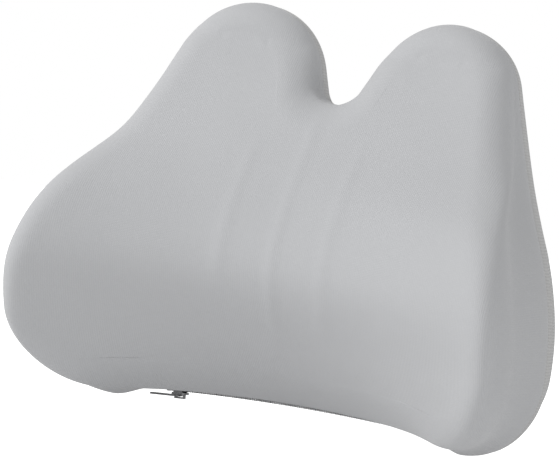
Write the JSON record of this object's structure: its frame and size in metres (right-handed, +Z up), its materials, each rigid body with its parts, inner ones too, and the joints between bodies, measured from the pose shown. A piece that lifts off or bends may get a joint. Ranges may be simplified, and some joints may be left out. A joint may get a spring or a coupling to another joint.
{
  "type": "chair headrest attachment",
  "caption": "Moulded foam headrest cushion with two ears, a hugging front and ribs, in a zipped knit cover with an elastic strap and side-release buckle behind.",
  "frame": {"origin": "point of the flat back face on the middle plane, 152 mm above the bottom of the lobes, between the strap and the notch", "axes": "+X to the viewer's right when facing the front, front towards -Y, back face normal +Y, +Z up"},
  "size_m": [0.3268, 0.1686, 0.2499],
  "materials": {
    "cover_knit": "fine stretch knit, matte light grey",
    "back_fabric": "warp knit, matte grey",
    "liner_fabric": "thin white tricot",
    "foam": "open-cell memory foam",
    "zip_tape": "woven polyester tape",
    "zip_coil": "nylon coil",
    "zip_metal": "die-cast zinc, dark lacquer",
    "webbing": "woven elastic, 30 mm",
    "buckle_plastic": "moulded acetal, fine texture",
    "label_fabric": "satin ribbon, blank"
  },
  "bodies": {
    "cushion": {"foam_core": "foam", "liner_front": "liner_fabric", "liner_back": "liner_fabric", "cover_front": "cover_knit", "cover_back": "back_fabric", "zip_tape_front": "zip_tape", "zip_tape_back": "zip_tape", "zip_coil_front": "zip_coil", "zip_coil_back": "zip_coil", "zip_stop_left": "zip_metal", "zip_stop_right": "zip_metal", "strap_left": "webbing", "strap_right": "webbing", "anchor_patch_left": "back_fabric", "anchor_patch_right": "back_fabric", "buckle_socket": "buckle_plastic", "care_label": "label_fabric"},
    "slider": {"zip_slider": "zip_metal"},
    "pull": {"zip_pull": "zip_metal"},
    "plug": {"buckle_plug": "buckle_plastic"},
    "upper_prong": {"prong_upper": "buckle_plastic"},
    "lower_prong": {"prong_lower": "buckle_plastic"},
    "adjuster": {"tri_glide": "buckle_plastic"}
  },
  "joints": [
    {"name": "zip_run", "type": "hinge", "parent": "cushion", "child": "slider", "pos_m": [0, -0.017, -1.43732], "axis": [0, 1, 0], "range_deg": [0, 7.29]},
    {"name": "pull_swing", "type": "hinge", "parent": "slider", "child": "pull", "pos_m": [-0.08176, -0.017, -0.15433], "axis": [0, -1, 0], "range_deg": [0, 160]},
    {"name": "buckle_release", "type": "slide", "parent": "cushion", "child": "plug", "axis": [1, 0, 0], "range_m": [0, 0.026], "deforming": ["strap_right", "prong_upper", "prong_lower"]},
    {"name": "upper_prong_press", "type": "hinge", "parent": "plug", "child": "upper_prong", "pos_m": [0.0122, 0.024, -0.04725], "axis": [0, -1, 0], "range_deg": [0, 8], "stiffness_Nm_per_rad": 0.3},
    {"name": "lower_prong_press", "type": "hinge", "parent": "plug", "child": "lower_prong", "pos_m": [0.0122, 0.024, -0.06675], "axis": [0, 1, 0], "range_deg": [0, 8], "stiffness_Nm_per_rad": 0.3},
    {"name": "strap_adjust", "type": "slide", "parent": "cushion", "child": "adjuster", "axis": [1, 0, 0], "range_m": [-0.012, 0.005], "deforming": ["strap_left"]}
  ]
}
